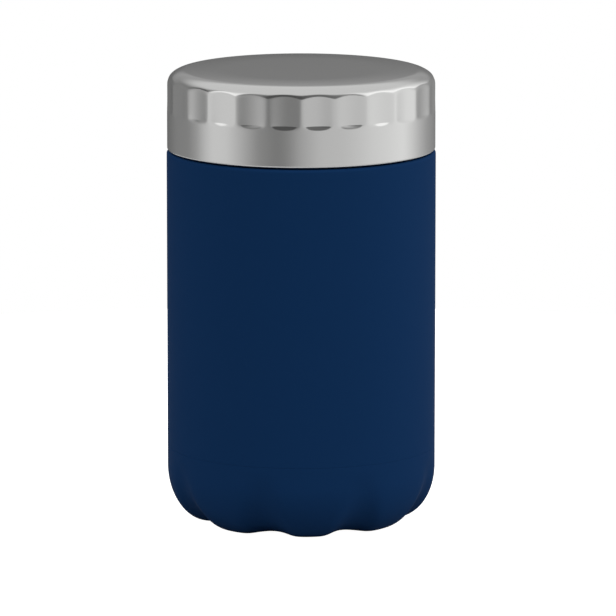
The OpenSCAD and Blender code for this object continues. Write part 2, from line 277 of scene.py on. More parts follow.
def lattice(rows: int, columns: int, loop: bool) -> np.ndarray:
    """Faces of a grid that closes round the axis.

    Args:
        rows: points along the outline.
        columns: points round the axis.
        loop: True where the last row joins the first.

    Returns:
        (m, 4) indices, row by row.
    """
    i = np.arange(rows if loop else rows - 1)[:, None]
    j = np.arange(columns)[None]
    below, beyond = (i + 1) % rows, (j + 1) % columns
    corners = [i * columns + j, i * columns + beyond, below * columns + beyond, below * columns + j]
    return np.stack(corners, 2).reshape(-1, 4)


# ---- Finishes ----


class Grain(Enum):
    """The fine relief of a finish."""

    PLAIN = "plain"
    SPECKLED = "speckled"
    TURNED = "turned"
    CREASED = "creased"


@dataclass(frozen=True)
class Finish:
    """What a surface is made of.

    Attributes:
        name: material name.
        colour: sRGB hex colour.
        roughness: roughness of the surface.
        metallic: 1 for bare metal.
        specular: strength of the plain reflection, for what isn't metal.
        grain: kind of fine relief.
        grain_size: wavelength of the relief in millimetres.
        grain_depth: height of the relief in millimetres.
        unevenness: how much the roughness varies.
    """

    name: str
    colour: str
    roughness: float
    metallic: float = 0.0
    specular: float = 0.5
    grain: Grain = Grain.PLAIN
    grain_size: float = 1.0
    grain_depth: float = 0.0
    unevenness: float = 0.0


def linear(colour: str) -> tuple[float, float, float, float]:
    """Convert an sRGB hex colour to the linear values that a shader takes."""
    values = [int(colour[i:i + 2], 16) / 255 for i in (1, 3, 5)]
    return (*[v / 12.92 if v <= 0.04045 else ((v + 0.055) / 1.055) ** 2.4 for v in values], 1.0)


def add_node(tree: Tree, kind: str, inputs: dict | None = None, **settings) -> bpy.types.Node:
    """Add a node, set its properties and fill or link its inputs.

    Args:
        tree: the node tree.
        kind: the node's type.
        inputs: input name or number to a value, or to an output socket to link from.
        settings: the node's properties.

    Returns:
        The new node.
    """
    node = tree.nodes.new(kind)
    for key, value in settings.items():
        setattr(node, key, value)
    for key, value in (inputs or {}).items():
        if isinstance(value, Socket):
            tree.links.new(value, node.inputs[key])
        else:
            node.inputs[key].default_value = value
    return node


def clear_tree(owner: Material | bpy.types.World) -> Tree:
    """Turn on the nodes of a material or a world and clear them.

    Args:
        owner: the material or world.

    Returns:
        Its empty node tree.
    """
    owner.use_nodes = True
    owner.node_tree.nodes.clear()
    return owner.node_tree


class Paints:
    """Builds each finish's material once."""

    def __init__(self) -> None:
        """Start with no materials."""
        self.made: dict[str, Material] = {}

    def get(self, finish: Finish) -> Material:
        """Return the material of a finish.

        Args:
            finish: the finish.

        Returns:
            Its material, built on first use.
        """
        if finish.name not in self.made:
            self.made[finish.name] = self.build(finish)
        return self.made[finish.name]

    def build(self, finish: Finish) -> Material:
        """Build a material: a principled surface, with its relief and its uneven roughness.

        Args:
            finish: the finish.

        Returns:
            The new material.
        """
        material = bpy.data.materials.new(finish.name)
        tree = clear_tree(material)
        surface = add_node(tree, "ShaderNodeBsdfPrincipled", {
            "Base Color": linear(finish.colour),
            "Metallic": finish.metallic,
            "Roughness": finish.roughness,
            "Specular IOR Level": finish.specular,
        })
        if finish.grain is not Grain.PLAIN:
            relief = self.relief(tree, finish)
            bump = add_node(tree, "ShaderNodeBump", {
                "Height": relief, "Distance": finish.grain_depth * MM, "Strength": 1.0,
            })
            tree.links.new(bump.outputs["Normal"], surface.inputs["Normal"])
        if finish.unevenness:
            place = add_node(tree, "ShaderNodeTexCoord").outputs["Object"]
            cloud = add_node(tree, "ShaderNodeTexNoise", {
                "Vector": place, "Scale": 1 / (CLOUD_SIZE * MM), "Detail": 3.0,
            })
            spread = add_node(tree, "ShaderNodeMapRange", {
                "Value": cloud.outputs["Fac"], "From Min": CLOUD_RANGE[0], "From Max": CLOUD_RANGE[1],
                "To Min": finish.roughness - finish.unevenness,
                "To Max": finish.roughness + finish.unevenness,
            })
            tree.links.new(spread.outputs["Result"], surface.inputs["Roughness"])
        add_node(tree, "ShaderNodeOutputMaterial", {"Surface": surface.outputs["BSDF"]})
        return material

    def relief(self, tree: Tree, finish: Finish) -> Socket:
        """Add the height pattern of a finish.

        Args:
            tree: the material's node tree.
            finish: the finish.

        Returns:
            The socket with the height.
        """
        place = add_node(tree, "ShaderNodeTexCoord").outputs["Object"]
        scale = 1 / (finish.grain_size * MM)
        if finish.grain is Grain.CREASED:
            return add_node(tree, "ShaderNodeTexVoronoi", {"Vector": place, "Scale": scale},
                            feature="DISTANCE_TO_EDGE").outputs["Distance"]
        if finish.grain is Grain.SPECKLED:
            return add_node(tree, "ShaderNodeTexNoise", {
                "Vector": place, "Scale": scale, "Detail": 2.0,
            }).outputs["Fac"]
        # Turning marks run round the axis: the noise reads the distance from the axis and the height,
        # and hardly changes along the marks.
        parts = add_node(tree, "ShaderNodeSeparateXYZ", {"Vector": place})
        flat = add_node(tree, "ShaderNodeCombineXYZ", {"X": parts.outputs["X"], "Y": parts.outputs["Y"]})
        out = add_node(tree, "ShaderNodeVectorMath", {0: flat.outputs["Vector"]}, operation="LENGTH")
        marks = add_node(tree, "ShaderNodeCombineXYZ", {"X": out.outputs["Value"], "Z": parts.outputs["Z"]})
        return add_node(tree, "ShaderNodeTexNoise", {
            "Vector": marks.outputs["Vector"], "Scale": scale, "Detail": 4.0,
        }).outputs["Fac"]


# Satin, sprayed and moulded grain is finer in life. Here it is as coarse as it has to be to show.

# Powder coat, sprayed and baked: dull, with a fine peel.
NAVY_COAT = Finish("navy_powder_coat", "#0E2A4D", 0.65, specular=0.015, grain=Grain.SPECKLED,
                   grain_size=0.55, grain_depth=0.004)
# Stainless steel with a satin finish: mirrors softly, without lines.
LID_STEEL = Finish("satin_steel", "#CBCBCA", 0.15, metallic=1.0, grain=Grain.SPECKLED,
                   grain_size=0.3, grain_depth=0.0006)
# Stainless steel, turned: bright, with faint marks round the axis.
NECK_STEEL = Finish("bright_steel", "#C9C8C6", 0.22, metallic=1.0, grain=Grain.TURNED,
                    grain_size=0.5, grain_depth=0.001)
# Stainless steel, brushed: wide, soft highlights that run round the wall.
LINER_STEEL = Finish("brushed_steel", "#C4C4C2", 0.32, metallic=1.0, grain=Grain.TURNED,
                     grain_size=0.6, grain_depth=0.003, unevenness=0.03)
# Copper foil, wrapped by hand: creases that catch the light.
COPPER_FOIL = Finish("copper_foil", "#C98A62", 0.25, metallic=1.0, grain=Grain.CREASED,
                     grain_size=6.0, grain_depth=0.15)
# Metal powder, sintered: dark, rough and grainy.
GETTER = Finish("sintered_getter", "#55555A", 0.8, metallic=1.0, grain=Grain.SPECKLED,
                grain_size=0.4, grain_depth=0.05)
# Spring steel strip, rolled: plain grey gloss.
SPRING_STEEL = Finish("spring_steel", "#B9B9B8", 0.3, metallic=1.0)
# Solder glass, melted: smooth and brown, like a glaze.
SOLDER_GLASS = Finish("sealing_glass", "#7C7357", 0.12)
# Polypropylene, moulded with a fine grain: dark, with a soft sheen.
LID_PLASTIC = Finish("dark_polypropylene", "#26282B", 0.42, specular=0.4, grain=Grain.SPECKLED,
                     grain_size=0.35, grain_depth=0.004)
# Foam, moulded: white, with open cells and no gloss.
INSULATION = Finish("white_foam", "#E9E9E4", 0.95, specular=0.2, grain=Grain.SPECKLED,
                    grain_size=1.6, grain_depth=0.15)
# Silicone, moulded: pale and smooth, with a soft sheen.
SILICONE = Finish("silicone", "#D5D9DB", 0.4, specular=0.4)


# ---- Jar ----


@dataclass
class Body:
    """The painted outer steel: a tube with a shoulder, and a base cup with lobes.

    Attributes are millimetres unless they say otherwise.
    """

    jar_r: float = 50.0
    height: float = 139.4
    sheet: float = 0.5
    shoulder_bend: float = 1.2
    neck_hole_r: float = 43.05
    weld: float = 28.6
    weld_edge: float = 0.12
    weld_run: float = 1.0
    corner_w: float = 15.2
    corner_h: float = 20.7
    foot_w: float = 2.6
    foot_bend: float = 1.0
    recess: float = 4.0
    recess_run: float = 2.5
    recess_bend: float = 1.5
    well_r: float = 7.0
    well_run: float = 3.0
    well: float = 1.6
    well_bend: float = 0.7
    port_r: float = 0.75
    lobes: int = 8
    per_lobe: int = 48
    groove_r: float = 16.0
    groove_bend: float = 25.0
    groove_top: float = 24.8
    groove_side: float = 0.1
    groove_soft: float = 0.85
    groove_end: float = 1.5

    def build(self, paints: Paints) -> None:
        """Build the tube and the base cup.

        Args:
            paints: the materials.
        """
        paint = paints.get(NAVY_COAT)
        tube = Shape("body_tube")
        outer = rounded([(self.neck_hole_r, self.height), (self.jar_r, self.height, self.shoulder_bend),
                         (self.jar_r, self.weld, self.weld_edge), (self.jar_r - self.sheet, self.weld)])
        inner_r, inner_top = self.jar_r - self.sheet, self.height - self.sheet
        inner = rounded([(inner_r, self.weld + self.weld_run),
                         (inner_r, inner_top, self.shoulder_bend - self.sheet),
                         (self.neck_hole_r, inner_top)])
        tube.turn(np.vstack([outer, inner]), 320)
        tube.build(paint, "jar", "navy_coat", "outer_shell")
        self.base(paint)

    def outline(self) -> np.ndarray:
        """Outer face of the base cup, from the weld down round the foot to the port.

        The corner between the wall and the foot is a quarter of an ellipse.

        Returns:
            The outline as an array of (radius from the axis, height).
        """
        foot_r = self.jar_r - self.corner_w
        a = np.radians(np.linspace(0, 90, 48))
        corner = np.stack([foot_r + self.corner_w * np.cos(a), self.corner_h * (1 - np.sin(a))], 1)
        foot_in = foot_r - self.foot_w
        recess_r = foot_in - self.recess_run
        port_z = self.recess + self.well
        under = rounded([
            (foot_r, 0.0), (foot_in, 0.0, self.foot_bend), (recess_r, self.recess, self.recess_bend),
            (self.well_r, self.recess, self.well_bend),
            (self.well_r - self.well_run, port_z, self.well_bend), (self.port_r, port_z),
        ])
        edge = self.weld_edge
        top = np.array([[self.jar_r - edge, self.weld], [self.jar_r - 0.3 * edge, self.weld - 0.3 * edge],
                        [self.jar_r, self.weld - edge], [self.jar_r, self.weld - 3 * edge]])
        z = np.linspace(self.weld - 5 * edge, self.corner_h, 16)[:-1]
        wall = np.stack([np.full_like(z, self.jar_r), z], 1)
        return np.vstack([top, wall, corner, under[1:]])

    def base(self, paint: Material) -> None:
        """Build the base cup.

        Between two lobes lies a round bar that bends up round the corner. Each point of the cup that
        is nearer to the bar's axis than the bar's radius moves straight out to the bar's face, with a
        soft edge where the bar leaves the cup. Up the wall the push fades out.

        Args:
            paint: the coat.
        """
        columns = self.per_lobe * self.lobes
        angles = circle(columns)
        radius, height = swept(self.outline(), columns)
        pitch = 2 * math.pi / self.lobes
        bar = -math.pi / 2 + (np.round((angles + math.pi / 2) / pitch - 0.5) + 0.5) * pitch
        x, y = radius * np.cos(angles - bar), radius * np.sin(angles - bar)
        bend_x = self.jar_r + self.groove_side - self.groove_bend
        reach = self.groove_bend + self.groove_r
        dx, dz = x - bend_x, np.minimum(height - self.groove_top, 0)
        length = np.maximum(np.hypot(dx, dz), 1e-9)
        upright = height >= self.groove_top
        axis_x = np.where(upright, bend_x + reach, bend_x + reach * dx / length)
        axis_z = np.where(upright, height, self.groove_top + reach * dz / length)
        away = np.stack([x - axis_x, y, height - axis_z], 2)
        distance = np.linalg.norm(away, axis=2)
        soft = self.groove_soft
        push = soft * np.logaddexp(0, (self.groove_r - distance) / soft)
        push *= smooth_step((self.weld - self.groove_end - height) / (self.weld - self.corner_h))
        moved = np.stack([x, y, height], 2) + away / distance[..., None] * push[..., None]
        turned_x = moved[..., 0] * np.cos(bar) - moved[..., 1] * np.sin(bar)
        turned_y = moved[..., 0] * np.sin(bar) + moved[..., 1] * np.cos(bar)
        outer = np.stack([turned_x, turned_y, moved[..., 2]], 2)
        along = np.gradient(outer, axis=0)
        across = (np.roll(outer, -1, axis=1) - np.roll(outer, 1, axis=1)) / 2
        normal = np.cross(along, across)
        normal /= np.linalg.norm(normal, axis=2)[..., None]
        inner = outer - normal * self.sheet
        inner[0, :, 2] = self.weld
        points = np.vstack([outer, inner[::-1]])
        shape = Shape("body_base")
        shape.add(points.reshape(-1, 3), lattice(points.shape[0], columns, True))
        shape.build(paint, "jar", "navy_coat", "outer_base")


@dataclass(frozen=True)
class Thread:
    """A rolled thread: rounded ridges that rise counter-clockwise.

    Attributes are millimetres and degrees. The ends and flanks of a ridge start at start_share of
    their rise, so that they leave the wall with a visible edge.
    """

    starts: int = 2
    lead: float = 8.0
    sweep: float = 210.0
    depth: float = 1.15
    root_w: float = 2.2
    crest_w: float = 1.2
    run_out: float = 18.0
    start_share: float = 0.15

    def relief(self, height: np.ndarray, angles: np.ndarray, low: float) -> np.ndarray:
        """How far the ridges stand out of their wall.

        Args:
            height: (rows, columns) heights.
            angles: (columns,) angles in radians.
            low: height of the ridges' lower ends.

        Returns:
            (rows, columns) distances from the wall.
        """
        total = np.zeros_like(height)
        for start in range(self.starts):
            turned = np.degrees(angles) - start * 360 / self.starts
            for lap in (-360, 0, 360):
                turn = turned + lap
                ends = np.minimum(turn, self.sweep - turn) / self.run_out
                tall = smooth_step(ends + self.start_share)
                middle = low + self.lead * turn / 360
                off = np.abs(height - middle)
                flank = (self.root_w / 2 - off) / ((self.root_w - self.crest_w) / 2)
                ridge = smooth_step(flank * (1 - self.start_share) + self.start_share)
                ridge *= tall * ((turn >= 0) & (turn <= self.sweep))
                total = np.maximum(total, ridge)
        return total * self.depth


@dataclass
class Neck:
    """The bare steel neck with the outer thread.

    Attributes are millimetres.
    """

    radius: float = 43.0
    sheet: float = 0.6
    low: float = 138.3
    rim: float = 156.0
    flange_r: float = 45.5
    flange_edge: float = 0.2
    flange_bend: float = 0.25
    thread_low: float = 144.0
    thread: Thread = Thread()
    columns: int = 540
    row: float = 0.14

    def build(self, paints: Paints) -> None:
        """Build the neck: a tube whose outer face carries the ridges.

        Args:
            paints: the materials.
        """
        angles = circle(self.columns)
        inner_r, flange_top = self.radius - self.sheet, self.low + self.sheet
        flange = rounded([(inner_r, self.rim), (inner_r, self.low + 1), (inner_r, self.low, self.flange_bend),
                          (self.flange_r, self.low, self.flange_edge),
                          (self.flange_r, flange_top, self.flange_edge), (self.radius, flange_top)], 4)
        zone = np.arange(flange_top + 0.2, self.rim - 0.05, self.row)
        wall = np.stack([np.full_like(zone, self.radius), zone], 1)
        path = np.vstack([flange, wall, [[self.radius, self.rim]]])
        radius, height = swept(path, self.columns)
        lift = self.thread.relief(height, angles, self.thread_low)
        outer = (path[:, 0] >= self.radius - 1e-6) & (path[:, 1] > flange_top + 0.1)
        radius[outer] += lift[outer]
        shape = Shape("neck")
        shape.grid(radius, height, angles, True)
        shape.build(paints.get(NECK_STEEL), "jar", "neck_steel", "neck_ring")


@dataclass
class Liner:
    """The bare steel vessel inside: a wall with the lip, and a bottom.

    Attributes are millimetres.
    """

    sheet: float = 0.5
    lip_r: float = 43.0
    rim: float = 156.5
    mouth_r: float = 41.0
    rim_bend: float = 0.9
    neck_low: float = 136.0
    wide_top: float = 129.0
    inner_r: float = 44.5
    bend: float = 3.0
    weld: float = 40.0
    weld_edge: float = 0.1
    floor: float = 10.0
    corner: float = 14.0
    around: int = 288

    def build(self, paints: Paints) -> None:
        """Build the wall and the bottom.

        Args:
            paints: the materials.
        """
        steel = paints.get(LINER_STEEL)
        edge_r, outer_r = self.inner_r + self.weld_edge, self.inner_r + self.sheet
        inner = rounded([(self.lip_r, self.rim), (self.mouth_r, self.rim, self.rim_bend),
                         (self.mouth_r, self.neck_low, self.bend), (self.inner_r, self.wide_top, self.bend),
                         (self.inner_r, self.weld + self.weld_edge), (edge_r, self.weld)], 12)
        outer = rounded([(outer_r, self.weld), (outer_r, self.wide_top, self.bend + self.sheet),
                         (self.mouth_r + self.sheet, self.neck_low, self.bend - self.sheet),
                         (self.mouth_r + self.sheet, self.rim - self.sheet, self.rim_bend - self.sheet),
                         (self.lip_r, self.rim - self.sheet)], 8)
        wall = Shape("liner_wall")
        wall.turn(np.vstack([inner, outer]), self.around)
        wall.build(steel, "jar", "liner_steel", "inner_vessel")
        cup = rounded([(0.0, self.floor), (self.inner_r, self.floor, self.corner),
                       (self.inner_r, self.weld - self.weld_edge), (edge_r, self.weld)], 20)
        back = rounded([(outer_r, self.weld), (outer_r, self.floor - self.sheet, self.corner + self.sheet),
                        (0.0, self.floor - self.sheet)], 20)
        bottom = Shape("liner_bottom")
        bottom.turn(np.vstack([cup, back]), self.around, loop=False)
        bottom.build(steel, "jar", "liner_steel", "inner_base")


@dataclass
class Cover:
    """The steel disc that hides the evacuation port.

    Attributes are millimetres.
    """

    radius: float = 25.0
    high: float = 4.0
    thick: float = 0.6
    edge: float = 0.2

    def build(self, paints: Paints) -> None:
        """Build the disc.

        Args:
            paints: the materials.
        """
        low = self.high - self.thick
        shape = Shape("port_cover")
        shape.turn(rounded([(0.0, low), (self.radius, low, self.edge), (self.radius, self.high, self.edge),
                            (0.0, self.high)], 4), 192, loop=False)
        shape.build(paints.get(NECK_STEEL), "jar", "neck_steel", "base_cover")


# ---- Lid ----


@dataclass
class LidCap:
    """The steel cap with its grip flutes and its hem.

    Attributes are millimetres, but for these: edge_runs are runs of angles in degrees over the
    rounded edge (first, last, count), closest where the flutes run out; crowding is how far the
    columns crowd at the creases, 0 to 1; least_deep is the least share of the flutes' depth that
    the slope of their low ends is worked out for.
    """

    radius: float = 49.8
    low: float = 139.9
    high: float = 169.7
    sheet: float = 0.6
    edge_w: float = 7.0
    edge_h: float = 5.0
    edge_runs: tuple[tuple[float, float, int], ...] = ((90, 44, 14), (42, 14, 28), (11, 0, 4))
    hem_r: float = 48.05
    hem_bend: float = 0.8
    hem_edge: float = 0.1
    flute_depth: float = 0.6
    flute_r: float = 44.0
    flute_low: float = 153.9
    flute_rise: float = 1.42
    flute_margin: float = 1.2
    flute_rows: int = 36
    least_deep: float = 0.3
    crest_soft: float = 0.12
    edge_soft: float = 0.2
    run_soft: float = 0.06
    run_edge_soft: float = 0.09
    run_edge_over: float = 3.0
    dome: float = 0.2
    dome_r: float = 28.0
    dome_rows: int = 14
    step_bend: float = 1.5
    per_flute: int = 20
    crowding: float = 0.75

    def columns(self) -> tuple[np.ndarray, np.ndarray]:
        """Angles of the grid's columns, closer together at the crests.

        Returns:
            The angles in radians, and each column's angle from its flute's middle.
        """
        pitch = 2 * math.pi / FLUTES
        u = np.linspace(-1, 1, self.per_flute, endpoint=False)
        off = (np.sin(u * math.pi / 2) * self.crowding + u * (1 - self.crowding)) * pitch / 2
        middle = FLUTE_FRONT + np.arange(FLUTES)[:, None] * pitch
        return (middle + off).ravel(), np.tile(off, FLUTES)

    def flute(self, off: np.ndarray) -> np.ndarray:
        """Distance of one flute's face from the lid's axis: a round bar that lies upright outside.

        Args:
            off: angles from the flute's middle in radians.

        Returns:
            Distances in millimetres.
        """
        axis = self.radius - self.flute_depth + self.flute_r
        return axis * np.cos(off) - np.sqrt(self.flute_r ** 2 - (axis * np.sin(off)) ** 2)

    def build(self, paints: Paints) -> None:
        """Build the cap.

        The flutes are pressed into a plain cap: at each height the radius is the smallest of the plain
        cap's and of the two nearest flutes', and the creases between them are rounded. Below its low end
        a flute's face slopes out until it meets the wall, in a rounded line that is crisper than the
        flutes' upper ends. The inner face is a plain cap.

        Args:
            paints: the materials.
        """
        angles, off = self.columns()
        pitch = 2 * math.pi / FLUTES
        centre_r, centre_z = self.radius - self.edge_w, self.high - self.edge_h
        tilt = np.radians(np.concatenate([np.linspace(*run) for run in self.edge_runs]))
        edge = np.stack([centre_r + self.edge_w * np.cos(tilt), centre_z + self.edge_h * np.sin(tilt)], 1)
        end = self.flute_low + self.flute_rise
        top, bottom = end + self.flute_margin, self.flute_low - self.flute_margin
        z = np.concatenate([np.linspace(centre_z, top, 6)[1:],
                            np.linspace(top - 0.1, bottom, self.flute_rows),
                            np.linspace(bottom - 0.4, self.low + 2.2, 5)])
        flat = np.array([0.0, 0.3, 12.0, *np.linspace(self.dome_r, centre_r, self.dome_rows)[:-1]])
        fall = np.clip((flat - self.dome_r) / (centre_r - self.dome_r), 0, 1) ** 2
        path = np.vstack([np.stack([flat, self.high - self.dome * fall], 1), edge - [0, self.dome],
                          np.stack([np.full_like(z, self.radius), z], 1)])
        height = swept(path, len(off))[1]
        press = -self.crest_soft * np.logaddexp(-self.flute(off) / self.crest_soft,
                                                -self.flute(pitch - np.abs(off)) / self.crest_soft)
        deep = np.clip((self.radius - press) / self.flute_depth, self.least_deep, 1)
        slope = self.flute_depth / self.flute_rise * np.sqrt(deep)
        press = press + slope * self.run_soft * np.logaddexp(0, (end - height) / self.run_soft)
        soft = self.run_edge_soft + (self.edge_soft - self.run_edge_soft) * smooth_step(
            (path[:, 1:] - end) / self.run_edge_over)
        radius = -soft * np.logaddexp(-path[:, :1] / soft, -press / soft)
        radius[0] = 0.0
        rest_radius, rest_height = swept(self.inside(centre_r, centre_z), len(off))
        shape = Shape("lid_cap")
        shape.grid(np.vstack([radius, rest_radius]), np.vstack([height, rest_height]), angles, False)
        shape.build(paints.get(LID_STEEL), "lid", "lid_steel", "lid_shell")

    def inside(self, centre_r: float, centre_z: float) -> np.ndarray:
        """Outline of the hem and of the inner face, up to the axis.

        Args:
            centre_r: distance from the axis to the middle of the rounded edge.
            centre_z: height of the middle of the rounded edge.

        Returns:
            The outline as an array of (radius from the axis, height).
        """
        hem_z, wall_r = self.low + self.sheet, self.radius - self.sheet
        deep_r = wall_r - self.flute_depth
        hem = rounded([(self.radius, self.low + 2), (self.radius, self.low, self.hem_bend),
                       (self.hem_r, self.low, self.hem_edge), (self.hem_r, hem_z, self.hem_edge)])
        inner = rounded([(self.hem_r, hem_z), (wall_r, hem_z, self.hem_bend - self.sheet),
                         (wall_r, self.flute_low - 1.5, self.step_bend),
                         (deep_r, self.flute_low + 2, self.step_bend), (deep_r, centre_z)])
        tilt = np.linspace(0, math.pi / 2, 13)[1:]
        bend = np.stack([centre_r + (deep_r - centre_r) * np.cos(tilt),
                         centre_z + (self.edge_h - self.sheet) * np.sin(tilt)], 1)
        return np.vstack([hem, inner, bend, [[0.0, self.high - self.sheet]]])


@dataclass
class LidInsert:
    """The moulded ring with the inner thread, the deck over the rim and the ribs inside the grip.

    Attributes are millimetres.
    """

    low: float = 140.5
    flange_r: float = 49.0
    flange: float = 1.5
    bore_r: float = 44.6
    skirt_r: float = 47.0
    lead_in: float = 0.8
    deck_low: float = 159.1
    deck_high: float = 160.9
    hole_r: float = 40.15
    rib_r: float = 48.45
    rib_w: float = 2.4
    rib_drop: float = 1.0
    thread_low: float = 142.196
    thread_zone: float = 151.0
    thread: Thread = Thread()
    columns: int = 480
    row: float = 0.16

    def build(self, paints: Paints) -> None:
        """Build the ring: its bore carries the ridges, and the ribs are boxes round the skirt.

        Args:
            paints: the materials.
        """
        angles = circle(self.columns)
        zone = np.arange(self.low + self.lead_in + 0.3, self.thread_zone, self.row)
        bore = np.stack([np.full_like(zone, self.bore_r), zone], 1)
        flange_top, lead_z = self.low + self.flange, self.low + self.lead_in
        bottom = rounded([(self.skirt_r, flange_top + 0.4), (self.skirt_r, flange_top, 0.2),
                          (self.flange_r, flange_top, 0.3), (self.flange_r, self.low, 0.3),
                          (self.bore_r + self.lead_in, self.low, 0.1),
                          (self.bore_r, lead_z, 0.1), (self.bore_r, lead_z + 0.25)], 4)
        deck = rounded([(self.bore_r, self.thread_zone + 1), (self.bore_r, self.deck_low, 0.3),
                        (self.hole_r, self.deck_low, 0.2), (self.hole_r, self.deck_high, 0.2),
                        (self.skirt_r, self.deck_high, 0.3), (self.skirt_r, self.deck_high - 1)], 4)
        radius, height = swept(np.vstack([bottom, bore, deck]), self.columns)
        rows = slice(len(bottom), len(bottom) + len(bore))
        radius[rows] -= self.thread.relief(height[rows], angles, self.thread_low)
        shape = Shape("lid_insert")
        shape.grid(radius, height, angles, True)
        pitch = 2 * math.pi / FLUTES
        for i in range(FLUTES):
            shape.box(np.array([self.skirt_r - 0.4, -self.rib_w / 2, flange_top - 0.3]),
                      np.array([self.rib_r, self.rib_w / 2, self.deck_high - self.rib_drop]),
                      FLUTE_FRONT + (i + 0.5) * pitch)
        shape.build(paints.get(LID_PLASTIC), "lid", "insert_plastic", "thread_insert")


@dataclass
class Plug:
    """The moulded plug that reaches into the mouth.

    Attributes are millimetres.
    """

    radius: float = 40.0
    wall: float = 1.5
    low: float = 152.5
    edge: float = 1.8
    bead_r: float = 40.55
    bead_top: float = 156.5
    bead_h: float = 1.1
    deck_high: float = 160.9
    flange_r: float = 44.0

    def build(self, paints: Paints) -> None:
        """Build the plug.

        Args:
            paints: the materials.
        """
        top = self.deck_high + self.wall
        inside = self.radius - self.wall
        path = rounded([
            (0.0, self.low), (self.radius, self.low, self.edge),
            (self.radius, self.bead_top - self.bead_h, 0.3),
            (self.bead_r, self.bead_top - self.bead_h / 2, 0.2), (self.bead_r, self.bead_top, 0.15),
            (self.radius, self.bead_top, 0.1), (self.radius, self.deck_high, 0.2),
            (self.flange_r, self.deck_high, 0.2), (self.flange_r, top, 0.3), (inside, top, 0.3),
            (inside, self.low + self.wall, self.edge / 2), (0.0, self.low + self.wall)], 6)
        shape = Shape("lid_plug")
        shape.turn(path, 256, loop=False)
        shape.build(paints.get(LID_PLASTIC), "lid", "insert_plastic", "plug_cup")


@dataclass
class Gasket:
    """The silicone sealing ring.

    Attributes are millimetres.
    """

    inner_r: float = 40.3
    outer_r: float = 44.3
    low: float = 156.8
    high: float = 159.1
    edge: float = 0.6

    def build(self, paints: Paints) -> None:
        """Build the ring.

        Args:
            paints: the materials.
        """
        shape = Shape("sealing_ring")
        corners = [(self.inner_r, self.low, self.edge), (self.outer_r, self.low, self.edge),
                   (self.outer_r, self.high, self.edge), (self.inner_r, self.high, self.edge)]
        shape.turn(rounded(corners, 6, loop=True), 256)
        shape.build(paints.get(SILICONE), "seal", "silicone", "lid_gasket")


# ---- Hidden parts that keep their CAD shape ----

KEPT = {
    "foil_wrap": (COPPER_FOIL, "copper_foil"),
    "foil_disc": (COPPER_FOIL, "copper_foil"),
    "getter_clip": (SPRING_STEEL, "neck_steel"),
    "getter_pill": (GETTER, "getter"),
    "port_seal": (SOLDER_GLASS, "sealing_glass"),
    "lid_foam": (INSULATION, "foam"),
}


def finish_kept(paints: Paints) -> None:
    """Give each part that keeps its CAD shape its finish.

    Args:
        paints: the materials.
    """
    for name, (finish, slot) in KEPT.items():
        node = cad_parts[name]
        node.data.materials.clear()
        node.data.materials.append(paints.get(finish))
        LOG.info("%s keeps its CAD shape", name)


# ---- Studio ----


